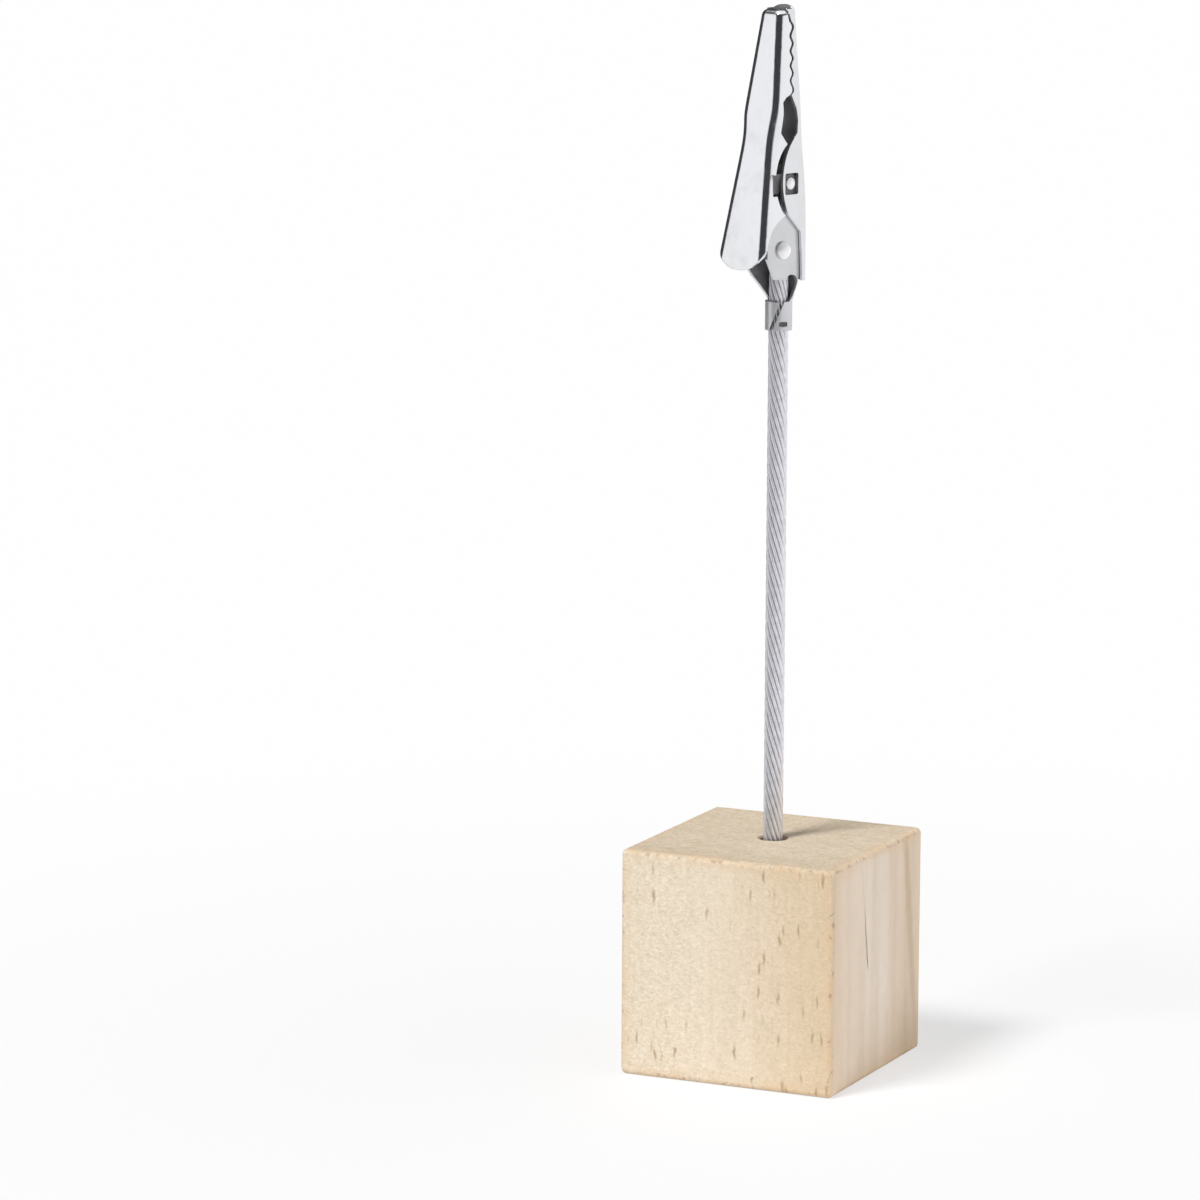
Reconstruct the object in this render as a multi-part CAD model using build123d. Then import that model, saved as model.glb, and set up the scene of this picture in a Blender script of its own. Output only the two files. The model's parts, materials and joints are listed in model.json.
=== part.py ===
from build123d import *
import math
import os

os.makedirs("parts", exist_ok=True)

# Wooden photo holder: a cube of wood, a stem of wire rope and an alligator clip.
# Millimetres. Origin at the middle of the block's underside, +Z up, front face towards -Y.

# Block
BLOCK = 35.0
BLOCK_EDGE = 0.9
HOLE_DIA = 4.2
HOLE_DEPTH = 22.0
HOLE_BREAK = 0.25

# Rope stem
ROPE_DIA = 3.0
ROPE_SHOWN = 78.2
ROPE_IN_CLIP = 9.2

# Glue
GLUE_BELOW_TOP = 2.0
GLUE_GAP = 0.01

# Clip: turned on the rope, its heights are measured from the lower end of the crimp.
# Depths are measured from the rope's axis towards the thumb lever.
CLIP_TURN = -20.0
SHEET = 0.5
BEND = 0.7
EASE = 3.0
EASE_SHARE = 0.45
EASE_STEPS = 3
OVER = 1.0
FAR = 12.0

# Hinge
PIVOT_DEPTH = 0.8
PIVOT_HIGH = 22.3
PIN_DIA = 1.4
PIN_HEAD_DIA = 1.8
PIN_HEAD_HIGH = 0.5
PIN_RUNNING = 0.05
PIN_TIGHT = 0.01
SIDE_GAP = 0.07
HEAD_GAP = 0.04

# Upper jaw with the lever, from the tip down: height, half width, depth of the web
TIP_HIGH = 48.1
TIP_HALF = 2.36
TIP_DEPTH = 2.49
TIP_ROUND = 1.0
UPPER_BEND = 1.5
UPPER_WAIST = [
    (35.4, 3.60, 4.34),
    (33.6, 3.73, 4.66),
    (32.2, 3.70, 4.94),
    (30.6, 3.50, 5.16),
    (29.0, 3.41, 5.42),
]
LEVER_TOP = (27.2, 3.49, 5.76)
LEVER_FOOT = (8.8, 5.26, 9.11)
LEVER_LOW = 9.65
LEVER_ROUND = 4.0

# Free edge of the upper jaw's walls, from the tip down: depth, height
UPPER_TIP = (1.35, 48.0)
UPPER_LEAN = 0.55
UPPER_THROAT = [(2.6, 35.3), (3.3, 34.6), (3.25, 33.0), (3.5, 30.0), (2.05, 28.3)]
UPPER_HOLLOW = [(5.0, 22.3), (3.7, 18.1)]
UPPER_HEEL = [(3.3, 17.8), (4.8, 17.0), (6.1, 16.0)]
UPPER_SCOOP = [(7.1, 14.2), (7.6, 12.2)]
UPPER_LIP = (7.85, 10.9)
UPPER_FOOT = 6.5

# Lower jaw, from the nose down: height, half width, depth of the web behind the rope
NOSE_HIGH = 48.8
NOSE_HALF = 2.3
NOSE_ROUND = 1.3
LOWER_TOP = (49.2, 2.28, 0.75)
LOWER_SHOULDER = (33.5, 3.62, 0.93)
LOWER_WAIST = (29.5, 1.38)
LOWER_BACK_TOP = (21.0, 2.35)
LOWER_BACK_HIGH = 16.0
LOWER_HALF = 3.4
LOWER_LOW = 7.6
WINDOW_WIDE = 2.8
WINDOW_AHEAD = 0.2
WINDOW_TALL = 3.2
WINDOW_ROUND = 0.3

# Free edge of the lower jaw's walls, from the nose down: depth, height
LOWER_TIP = (1.05, 48.1)
LOWER_LEAN = 0.25
LOWER_THROAT = [(0.3, 33.5), (-0.08, 31.8), (-0.05, 29.9), (1.3, 28.2)]
LOWER_EAR = [(2.92, 22.5), (1.6, 17.7)]
LOWER_HEEL = [(1.38, 17.4), (-1.05, 15.0), (-1.3, 12.0)]
LOWER_END = -1.5

# Teeth
TEETH = 5
TEETH_LOW = 35.6
TEETH_HIGH = 46.4
TEETH_LOW_DEPTH = 1.59
TEETH_HIGH_DEPTH = 0.77
TOOTH_SWING = 0.24
TOOTH_GAP = 0.5

# Tail bracket, which lies inside the lower jaw and is crimped round the rope
BRACKET_HALF = LOWER_HALF - SHEET - SIDE_GAP
BRACKET_BEND = 0.8
BRACKET_OVER_PIN = 2.0
NECK_HIGH = 8.2
CRIMP_BORE = 1.55
CRIMP_OUT = CRIMP_BORE + SHEET
CRIMP_HIGH = 4.4
CRIMP_LAP = 0.2
SEAM_WIDE = 0.55
SEAM_SLANT = -21.0
SEAM_TURN = 57.0
MARK_TURN = 26.0
MARK_HIGH = 1.0
MARK_ROUND = 0.42
MARK_WIDE = 1.3
MARK_DEEP = 0.3
WEB_GAP = 0.02
LOWER_BACK = CRIMP_OUT + WEB_GAP + SHEET

# Free edge of the bracket's walls, from the hinge down: depth, height
BRACKET_FRONT = [(2.7, 19.2), (5.0, 15.6), (5.5, 13.6), (5.5, 11.2)]
BRACKET_BACK = (-1.3, 15.5)
NEAR_FOOT = [(3.8, 8.0), (1.2, 7.8), (1.0, 8.4)]
NEAR_CUT = [(-0.8, 8.1), (-1.1, 6.4)]
NEAR_NECK = (-0.7, 5.2)
FAR_FOOT = [(3.8, 8.9), (1.9, 6.7)]

# Upper jaw's ears, which step inwards past the lower jaw and the bracket
EAR_OUT = BRACKET_HALF - SHEET - SIDE_GAP
EAR_IN = EAR_OUT - SHEET
EAR_TALL = 3.0
EAR_ROUND = 1.35
EAR_ROOM = 0.08
EYE_MARGIN = 0.15
STEP_TOP = 5.7
STEP_LOW = 4.2
STEP_IN = 0.21
STEP_LAP = 0.3

# Tail rivet
RIVET_DEPTH = 2.2
RIVET_HIGH = 12.4
RIVET_DIA = 1.5
RIVET_HEAD_DIA = 2.7
RIVET_HEAD_HIGH = 1.1
RIM_SHARE = 0.3

# Spring
SPRING_WIRE = 0.5
SPRING_RADIUS = 1.3
SPRING_PITCH = 1.0
SPRING_TURNS = 2
TAIL_LEG_HIGH = 10.6
LEVER_LEG_HIGH = 14.0
LEG_GAP = 0.04

CLIP_BASE = BLOCK + ROPE_SHOWN
CLIP_PLACE = Pos(0, 0, CLIP_BASE) * Rot(0, 0, CLIP_TURN)
UP = (Align.CENTER, Align.CENTER, Align.MIN)


# In the clip's own frame X runs along the hinge, Z along the rope, and depth along -Y.

def at(depth, high):
    return Vector(-depth, high)


def side_solid(edges, half=FAR):
    face = make_face(edges)
    return extrude(Plane.YZ * face, amount=half, both=True)


def run(points):
    return Polyline(*[at(d, h) for d, h in points])


def arch(a, b, c):
    return ThreePointArc(at(*a), at(*b), at(*c))


def section(half, back, radius, high, side):
    # A channel's section: its web at depth back, its walls open towards the other jaw.
    y = -side * back
    w = half
    r = radius
    q = r * (1 - math.sqrt(0.5))
    a = Line((-w, y + side * FAR), (-w, y + side * r))
    b = ThreePointArc((-w, y + side * r), (-w + q, y + side * q), (-w + r, y))
    c = Line((-w + r, y), (w - r, y))
    d = ThreePointArc((w - r, y), (w - q, y + side * q), (w, y + side * r))
    e = Line((w, y + side * r), (w, y + side * FAR))
    f = Line((w, y + side * FAR), (-w, y + side * FAR))
    return Pos(0, 0, high) * make_face([a, b, c, d, e, f])


def eased(stations):
    # Each corner between two straight runs is rounded off along the channel's length.
    rounded = [stations[0]]
    for before, here, after in zip(stations, stations[1:], stations[2:]):
        above = before[0] - here[0]
        below = here[0] - after[0]
        reach = min(EASE, EASE_SHARE * above, EASE_SHARE * below)
        for n in range(EASE_STEPS + 1):
            part = n / EASE_STEPS
            back = reach / above * (1 - part) ** 2
            on = reach / below * part ** 2
            step = [h + (b - h) * back + (a - h) * on for b, h, a in zip(before, here, after)]
            rounded.append(tuple(step))
    rounded.append(stations[-1])
    return rounded


def blank(stations, side):
    # stations: height, half width, depth of the web and bend radius, from the top down
    outer = []
    for high, half, back, bend in stations:
        outer.append(section(half, back, bend, high, side))
    return loft(outer, ruled=True)


def beyond(a, b, step):
    # The station a step past b on the straight run from a, or before it if the step is negative
    share = step / abs(b[0] - a[0])
    return tuple(v + (v - u) * share for u, v in zip(a, b))


def round_tip(body, radius):
    # Rounds the closed tip's edges over the web, the bends and the walls
    tip_edges = body.faces().sort_by(Axis.Z)[-1].edges().sort_by(Axis.Y)[:-1]
    return fillet(tip_edges, radius)


def channel(stations, side, cap=0.0, tip_round=0.0):
    top = beyond(stations[1], stations[0], -cap if cap else OVER)
    foot = beyond(stations[-2], stations[-1], OVER)
    inner = []
    for high, half, back, bend in [top] + stations[1:-1] + [foot]:
        inner.append(section(half - SHEET, back - SHEET, bend - SHEET, high, side))
    outer = blank(stations, side)
    if tip_round:
        outer = round_tip(outer, tip_round)
    return outer - loft(inner, ruled=True)


def tooth_line(shift):
    points = []
    count = 2 * TEETH
    for n in range(count + 1):
        part = n / count
        high = TEETH_HIGH + (TEETH_LOW - TEETH_HIGH) * part
        middle = TEETH_HIGH_DEPTH + (TEETH_LOW_DEPTH - TEETH_HIGH_DEPTH) * part
        swing = -TOOTH_SWING if n % 2 else TOOTH_SWING
        points.append(at(middle + swing - shift, high))
    return Spline(*points)


def tooth_ends(shift):
    first = (TEETH_HIGH_DEPTH + TOOTH_SWING - shift, TEETH_HIGH)
    last = (TEETH_LOW_DEPTH + TOOTH_SWING - shift, TEETH_LOW)
    return first, last


def on_lever(high, which):
    # Half width (1) or web depth (2) of the lever's straight run at a height
    part = (LEVER_TOP[0] - high) / (LEVER_TOP[0] - LEVER_FOOT[0])
    return LEVER_TOP[which] + (LEVER_FOOT[which] - LEVER_TOP[which]) * part


# Upper jaw
tip = (TIP_HIGH, TIP_HALF, TIP_DEPTH)
UPPER = eased([row + (UPPER_BEND,) for row in [tip] + UPPER_WAIST + [LEVER_TOP, LEVER_FOOT]])
above_tip = TIP_HIGH + OVER
first, last = tooth_ends(0)
upper_edges = [
    run([(FAR, above_tip), (UPPER_TIP[0] + UPPER_LEAN, above_tip), UPPER_TIP, first]),
    tooth_line(0),
    run([last] + UPPER_THROAT),
    arch(UPPER_THROAT[-1], *UPPER_HOLLOW),
    run([UPPER_HOLLOW[-1]] + UPPER_HEEL),
    arch(UPPER_HEEL[-1], *UPPER_SCOOP),
    run([UPPER_SCOOP[-1], UPPER_LIP, (FAR, UPPER_FOOT), (FAR, above_tip)]),
]
upper = channel(UPPER, 1, cap=SHEET, tip_round=TIP_ROUND)
upper = upper & side_solid(upper_edges)

# The lever's end is rounded across its width.
round_high = LEVER_LOW + LEVER_ROUND
end_half = on_lever(round_high, 1)
past_half = end_half + OVER
lever_edges = [
    Line((-past_half, above_tip), (past_half, above_tip)),
    Line((past_half, above_tip), (past_half, round_high)),
    Line((past_half, round_high), (end_half, round_high)),
    EllipticalCenterArc((0, round_high), end_half, LEVER_ROUND, 180, arc_size=180),
    Line((-end_half, round_high), (-past_half, round_high)),
    Line((-past_half, round_high), (-past_half, above_tip)),
]
lever_shape = extrude(Plane.XZ * make_face(lever_edges), amount=FAR, both=True)
upper = upper & lever_shape

# Two ears step inwards, pass inside the lower jaw and turn on the pin.
pivot = Pos(0, -PIVOT_DEPTH, PIVOT_HIGH)
hinge_line = pivot * Rot(0, 90, 0)
wall = on_lever(PIVOT_HIGH, 1)
step_end = STEP_TOP + STEP_LAP
ear_low = PIVOT_HIGH - EAR_TALL / 2
room = Pos(0, -STEP_TOP / 2, PIVOT_HIGH) * Box(2 * FAR, STEP_TOP, EAR_TALL + 2 * EAR_ROOM)
upper = upper - room
ear_run = [
    (wall, -step_end),
    (wall, -STEP_TOP),
    (EAR_OUT, -STEP_LOW),
    (EAR_OUT, -PIVOT_DEPTH),
    (EAR_IN, -PIVOT_DEPTH),
    (EAR_IN, -STEP_LOW - STEP_IN),
    (wall - SHEET, -STEP_TOP - STEP_IN),
    (wall - SHEET, -step_end),
    (wall, -step_end),
]
ear = Pos(0, 0, ear_low) * extrude(make_face(Polyline(*ear_run)), amount=EAR_TALL)
eye = Pos(EAR_IN, -PIVOT_DEPTH, PIVOT_HIGH) * Rot(0, 90, 0)
ear = ear + eye * Cylinder(EAR_ROUND, SHEET, align=UP)
ears = (ear + mirror(ear, Plane.YZ)) & blank(UPPER, 1)
upper = upper + ears
upper = upper - hinge_line * Cylinder(PIN_DIA / 2 + PIN_RUNNING, 2 * FAR)

# Lower jaw
LOWER = eased([
    LOWER_TOP + (BEND,),
    LOWER_SHOULDER + (BEND,),
    (LOWER_WAIST[0], LOWER_HALF, LOWER_WAIST[1], BEND),
    (LOWER_BACK_TOP[0], LOWER_HALF, LOWER_BACK_TOP[1], BEND),
    (LOWER_BACK_HIGH, LOWER_HALF, LOWER_BACK, BEND),
    (LOWER_LOW - OVER, LOWER_HALF, LOWER_BACK, BEND),
])
first, last = tooth_ends(TOOTH_GAP)
lower_edges = [
    run([(-FAR, above_tip), (LOWER_TIP[0] + LOWER_LEAN, above_tip), LOWER_TIP, first]),
    tooth_line(TOOTH_GAP),
    run([last] + LOWER_THROAT),
    arch(LOWER_THROAT[-1], *LOWER_EAR),
    run([LOWER_EAR[-1]] + LOWER_HEEL + [(LOWER_END, LOWER_LOW)]),
    run([(LOWER_END, LOWER_LOW), (-FAR, LOWER_LOW), (-FAR, above_tip)]),
]
lower = channel(LOWER, -1)
lower = lower & side_solid(lower_edges)

# Its nose is rounded across the width.
nose_low = NOSE_HIGH - NOSE_ROUND
nose_edges = [
    Line((-FAR, 0), (FAR, 0)),
    Line((FAR, 0), (FAR, nose_low)),
    Line((FAR, nose_low), (NOSE_HALF, nose_low)),
    EllipticalCenterArc((0, nose_low), NOSE_HALF, NOSE_ROUND, 0, arc_size=180),
    Line((-NOSE_HALF, nose_low), (-FAR, nose_low)),
    Line((-FAR, nose_low), (-FAR, 0)),
]
lower = lower & extrude(Plane.XZ * make_face(nose_edges), amount=FAR, both=True)
window = pivot * Pos(0, -WINDOW_AHEAD, 0) * Box(2 * FAR, WINDOW_WIDE, WINDOW_TALL)
window = fillet(window.edges().filter_by(Axis.X), WINDOW_ROUND)
lower = lower - window

# Tail bracket: a channel inside the lower jaw that narrows to a crimp round the rope
BRACKET = [
    (PIVOT_HIGH + BRACKET_OVER_PIN, BRACKET_HALF, CRIMP_OUT, BRACKET_BEND),
    (NECK_HIGH, BRACKET_HALF, CRIMP_OUT, BRACKET_BEND),
    (CRIMP_HIGH, CRIMP_OUT, CRIMP_OUT, CRIMP_OUT - WEB_GAP),
    (0, CRIMP_OUT, CRIMP_OUT, CRIMP_OUT - WEB_GAP),
]
eye_round = EAR_ROUND + EYE_MARGIN
eye_left = (PIVOT_DEPTH + eye_round, PIVOT_HIGH)
eye_top = (PIVOT_DEPTH, PIVOT_HIGH + eye_round)
eye_right = (PIVOT_DEPTH - eye_round, PIVOT_HIGH)
upper_run = [arch(eye_right, eye_top, eye_left), run([eye_left] + BRACKET_FRONT)]
back_corner = (-FAR, BRACKET_BACK[1])
back_run = run([(0, 0), (-FAR, 0), back_corner, BRACKET_BACK, eye_right])
crimp_top = (0, CRIMP_HIGH - CRIMP_LAP)
near_edges = upper_run + [
    run([BRACKET_FRONT[-1]] + NEAR_FOOT),
    arch(NEAR_FOOT[-1], *NEAR_CUT),
    run([NEAR_CUT[-1], NEAR_NECK, crimp_top, (0, 0)]),
    back_run,
]
far_edges = upper_run + [
    run([BRACKET_FRONT[-1]] + FAR_FOOT + [crimp_top, (0, 0)]),
    back_run,
]
near_half = Pos(FAR / 2, 0, 0) * Box(FAR, 4 * FAR, 8 * FAR)
near_side = side_solid(near_edges) & near_half
far_side = side_solid(far_edges) & mirror(near_half, Plane.YZ)
bracket = channel(BRACKET, -1) & (near_side + far_side)
barrel = Cylinder(CRIMP_OUT, CRIMP_HIGH, align=UP) - Cylinder(CRIMP_BORE, CRIMP_HIGH, align=UP)
seam_face = Rot(0, 0, -SEAM_TURN) * Pos(CRIMP_OUT, 0, CRIMP_HIGH / 2)
seam = seam_face * Rot(SEAM_SLANT, 0, 0) * Box(CRIMP_OUT, SEAM_WIDE, 3 * CRIMP_HIGH)
mark_face = Rot(0, 0, -MARK_TURN) * Pos(CRIMP_OUT - MARK_DEEP + MARK_ROUND, 0, MARK_HIGH)
mark = mark_face * Rot(90, 0, 0) * Cylinder(MARK_ROUND, MARK_WIDE)
bracket = bracket + barrel - seam - mark
bracket = bracket - hinge_line * Cylinder(PIN_DIA / 2 + PIN_TIGHT, 2 * FAR)
rivet_line = Pos(0, -RIVET_DEPTH, RIVET_HIGH) * Rot(0, 90, 0)
bracket = bracket - rivet_line * Cylinder(RIVET_DIA / 2 + PIN_TIGHT, 2 * FAR)


def domed(dia, half, head_dia, head_high):
    # A plain shank with a low dome at each end
    rise = head_high * (1 - RIM_SHARE)
    ball = (head_dia * head_dia / 4 + rise * rise) / (2 * rise)
    head = Cylinder(head_dia / 2, head_high, align=UP)
    head = head & Pos(0, 0, head_high - ball) * Sphere(ball)
    head = Pos(0, 0, half) * head
    return Cylinder(dia / 2, 2 * half) + head + mirror(head, Plane.XY)


pin = hinge_line * domed(PIN_DIA, BRACKET_HALF + HEAD_GAP, PIN_HEAD_DIA, PIN_HEAD_HIGH)
rivet = rivet_line * domed(RIVET_DIA, BRACKET_HALF + PIN_TIGHT, RIVET_HEAD_DIA, RIVET_HEAD_HIGH)

# Spring: wound round the pin, one leg down the bracket, the other against the lever
tail_depth = -(CRIMP_BORE - SPRING_WIRE / 2 - LEG_GAP)
slope = (LEVER_FOOT[2] - LEVER_TOP[2]) / (LEVER_TOP[0] - LEVER_FOOT[0])
stand_off = (SPRING_WIRE / 2 + LEG_GAP) * math.sqrt(1 + slope * slope)
lever_depth = on_lever(LEVER_LEG_HIGH, 2) - SHEET - stand_off


def leaves(depth, high, turn):
    # Angle round the pin at which a straight leg to this point leaves the coil
    reach = math.hypot(depth - PIVOT_DEPTH, high - PIVOT_HIGH)
    aim = math.degrees(math.atan2(high - PIVOT_HIGH, depth - PIVOT_DEPTH))
    return aim + turn * math.degrees(math.acos(SPRING_RADIUS / reach))


spring_start = leaves(tail_depth, TAIL_LEG_HIGH, -1) + 360
spring_end = leaves(lever_depth, LEVER_LEG_HIGH, 1)
turned = spring_start - spring_end + 360 * SPRING_TURNS
spring_wide = SPRING_PITCH * turned / 360
quarters = round(turned / 90)


def coil_point(n):
    angle = math.radians(spring_start - turned * n / quarters)
    x = spring_wide * (n / quarters - 0.5)
    depth = PIVOT_DEPTH + SPRING_RADIUS * math.cos(angle)
    return Vector(x, -depth, PIVOT_HIGH + SPRING_RADIUS * math.sin(angle))


def coil_way(n):
    angle = math.radians(spring_start - turned * n / quarters)
    climb = 0.0 if n in (0, quarters) else SPRING_PITCH / (2 * math.pi * SPRING_RADIUS)
    return Vector(climb, -math.sin(angle), -math.cos(angle)).normalized()


def two_arcs(p, u, q, v):
    # Two arcs that meet in line, from p along u to q along v
    across = q - p
    both = u + v
    level = 2 * (1 - u.dot(v))
    b = across.dot(both)
    size = (-b + math.sqrt(b * b + level * across.dot(across))) / level
    c = p + u * size
    d = q - v * size
    middle = (c + d) * 0.5
    return [TangentArc(p, middle, tangent=u), TangentArc(middle, q, tangent=d - c)]


start = coil_point(0)
finish = coil_point(quarters)
low_end = Vector(start.X, -tail_depth, TAIL_LEG_HIGH)
lever_end = Vector(finish.X, -lever_depth, LEVER_LEG_HIGH)
path = [Line(low_end, start)]
for n in range(quarters):
    path = path + two_arcs(coil_point(n), coil_way(n), coil_point(n + 1), coil_way(n + 1))
path.append(Line(finish, lever_end))
spring_path = Wire(path)
spring_section = Plane(origin=low_end, z_dir=start - low_end) * Circle(SPRING_WIRE / 2)
spring = sweep(spring_section, path=spring_path)

# The coil's least gap to itself, on points along the wire
trace = []
for edge in path:
    pieces = max(4, int(4 * edge.length / SPRING_WIRE))
    for k in range(pieces):
        trace.append(edge.position_at(k / pieces))
along = [0.0]
for a, b in zip(trace, trace[1:]):
    along.append(along[-1] + (b - a).length)
gap = min(
    (trace[i] - trace[j]).length - SPRING_WIRE
    for i in range(len(trace))
    for j in range(i)
    if along[i] - along[j] > math.pi * SPRING_RADIUS
)
print("spring: least gap to itself", round(gap, 3))

# Block, glue and rope
hole_low = BLOCK - HOLE_DEPTH
block = Box(BLOCK, BLOCK, BLOCK, align=UP)
block = fillet(block.edges(), BLOCK_EDGE)
block = block - Pos(0, 0, hole_low) * Cylinder(HOLE_DIA / 2, HOLE_DEPTH + OVER, align=UP)
rim = block.edges().filter_by(GeomType.CIRCLE).sort_by(Axis.Z)[-1]
block = chamfer(rim, HOLE_BREAK)
rope_long = HOLE_DEPTH + ROPE_SHOWN + ROPE_IN_CLIP
rope = Pos(0, 0, hole_low) * Cylinder(ROPE_DIA / 2, rope_long, align=UP)
glue_long = HOLE_DEPTH - GLUE_BELOW_TOP
glue = Cylinder(HOLE_DIA / 2 - GLUE_GAP, glue_long, align=UP)
glue = glue - Cylinder(ROPE_DIA / 2 + GLUE_GAP, glue_long, align=UP)
glue = Pos(0, 0, hole_low) * glue

nodes = {
    "wood_block": block,
    "wire_rope": rope,
    "glue_sleeve": glue,
    "upper_jaw": CLIP_PLACE * upper,
    "lower_jaw": CLIP_PLACE * lower,
    "tail_bracket": CLIP_PLACE * bracket,
    "tail_rivet": CLIP_PLACE * rivet,
    "pivot_pin": CLIP_PLACE * pin,
    "torsion_spring": CLIP_PLACE * spring,
}
for name, shape in nodes.items():
    export_step(shape, "parts/" + name + ".step")
    print(name, len(shape.solids()), round(shape.volume, 2))
hinge = (CLIP_PLACE * pivot).position
print("hinge at", round(hinge.X, 4), round(hinge.Y, 4), round(hinge.Z, 4))
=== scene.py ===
import json
import math
import random

import bpy
from mathutils import Matrix, Vector


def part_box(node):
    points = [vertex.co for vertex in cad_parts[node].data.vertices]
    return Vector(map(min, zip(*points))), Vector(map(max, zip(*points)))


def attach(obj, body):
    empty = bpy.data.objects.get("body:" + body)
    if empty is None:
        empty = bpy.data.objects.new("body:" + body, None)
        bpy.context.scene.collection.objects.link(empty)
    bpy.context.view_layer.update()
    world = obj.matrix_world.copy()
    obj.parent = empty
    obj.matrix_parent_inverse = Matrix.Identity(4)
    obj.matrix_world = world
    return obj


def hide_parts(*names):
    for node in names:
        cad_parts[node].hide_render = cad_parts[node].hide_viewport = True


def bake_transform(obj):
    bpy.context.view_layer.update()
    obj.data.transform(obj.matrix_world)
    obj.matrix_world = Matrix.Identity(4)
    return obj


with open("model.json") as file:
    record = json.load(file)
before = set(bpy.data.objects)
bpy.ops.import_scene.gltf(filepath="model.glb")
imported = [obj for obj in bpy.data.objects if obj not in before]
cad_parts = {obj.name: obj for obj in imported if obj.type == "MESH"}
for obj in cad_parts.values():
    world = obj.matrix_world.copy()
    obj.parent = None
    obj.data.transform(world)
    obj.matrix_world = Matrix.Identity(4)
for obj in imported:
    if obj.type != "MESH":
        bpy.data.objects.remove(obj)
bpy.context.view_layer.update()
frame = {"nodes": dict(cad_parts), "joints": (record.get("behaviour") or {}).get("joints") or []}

nodes = frame["nodes"]

# Lengths are in millimetres unless a comment says otherwise, and turns in degrees
MM = 0.001
CUT_SEED = 7
random.seed(CUT_SEED)

# From the frame: the block's edge, the rope's radius, the clip's foot and turn, and the hinge from that foot
hinge = frame["joints"][0]
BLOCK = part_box("wood_block")[1][2] / MM
HALF = BLOCK / 2
ROPE_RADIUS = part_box("wire_rope")[1][0] / MM
CLIP_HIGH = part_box("tail_bracket")[0][2] / MM
CLIP_TURN = math.degrees(math.atan2(hinge["axis"][1], hinge["axis"][0]))
PIVOT_DEPTH = math.hypot(hinge["pos_m"][0], hinge["pos_m"][1]) / MM
PIVOT_HIGH = hinge["pos_m"][2] / MM - CLIP_HIGH

# Camera, as the photograph was taken, and where the block's foot lies from it: right, up and back
CAMERA_TURN = 25.122
CAMERA_RISE = 10.189
CAMERA_ROLL = 0.3
FOOT_FROM_CAMERA = (26.232, -70.736, -921.925)
CAMERA_LENS = 180
CAMERA_SENSOR = 36
CAMERA_REACH_METRES = 100

# Key lamp: turn, rise, level and how wide its disc is
KEY_LAMP = (-25, 54.5, 2.47, 18)

# Room: its even light, the lit board on the right, and the boards round it that metal mirrors, by turn
WHITE = (1, 1, 1, 1)
BOARD_PALE = (0.95, 0.95, 0.955, 1)
BOARD_DARK = (0.05, 0.05, 0.055, 1)
BOARDS = (
    (-180, WHITE), (-172, WHITE), (-164, BOARD_DARK), (-74, BOARD_DARK), (-68, WHITE),
    (-44, WHITE), (-32, BOARD_DARK), (36, BOARD_DARK), (50, BOARD_PALE), (180, WHITE))
ROOM_LIGHT = 0.19
ROOM_BLUE = 1.01
SIDE_BOARD = 1.42
SIDE_BOARD_TURN = 100

# Soft limits of the room's parts: their edges as the cosine from their turn, the rest as sines of the rise
SIDE_BOARD_EDGE = (0.2, 0.85)
SIDE_BOARD_TOP = (0.85, 0.3)
CLOTH_EDGE = (-0.15, 0.1)
CLOTH_LOW = (0.36, 0.50)
CEILING_LOW = (0.66, 0.82)

# Paper, in metres: half its width, its reach towards the camera and away, and where its glow grows
PAPER_HALF = 0.5
PAPER_NEAR = 0.92
PAPER_FAR = 3.6
GLOW_GROWS = (0.05, 0.25)

# Paper's look: its colours, the faint cloud in it, in cells per metre, its roughness, shine and glow
PAPER_COLOUR = (0.96, 0.96, 0.965, 1)
PAPER_CLOUD = (0.94, 0.94, 0.945, 1)
PAPER_CLOUD_RATE = 3.0
PAPER_CLOUD_SHOWS = 0.15
PAPER_CLOUD_ROUGH = 0.1
PAPER_ROUGH = 0.75
PAPER_SHINE = 0.1
PAPER_GLOW = 0.58
PAPER_FAR_GLOW = 0.95

# Block: how squarely a face looks along an axis, and where wear starts, as a share of half the edge
FACE_SQUARE = (0.5, 0.9)
EDGE_RUBBED = (0.84, 0.995)
EDGE_NICKED = (0.94, 0.985)

# Wood colours, for each way the block is cut
FRONT_PALE = (0.795, 0.683, 0.53, 1)
FRONT_TAN = (0.715, 0.57, 0.395, 1)
FRONT_LATE = (0.70, 0.53, 0.36, 1)
SIDE_PALE = (0.755, 0.65, 0.545, 1)
SIDE_TAN = (0.705, 0.57, 0.43, 1)
SIDE_LATE = (0.66, 0.52, 0.385, 1)
# Brown of the streak, and also painted shade low at the back
SIDE_BROWN_AND_SHADE = (0.56, 0.41, 0.27, 1)
END_PALE = (0.79, 0.665, 0.505, 1)
END_TAN = (0.70, 0.58, 0.43, 1)
END_LATE = (0.61, 0.495, 0.355, 1)
EDGE_WARM = (0.72, 0.50, 0.29, 1)
NICK_BROWN = (0.36, 0.22, 0.115, 1)
FLECK_BROWN = (0.40, 0.26, 0.14, 1)
CHECK_DARK = (0.20, 0.13, 0.08, 1)
# Painted shade at the drilled rim and in the mouth of the hole
RIM_SHADE_DARK = (0.26, 0.17, 0.10, 1)

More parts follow.
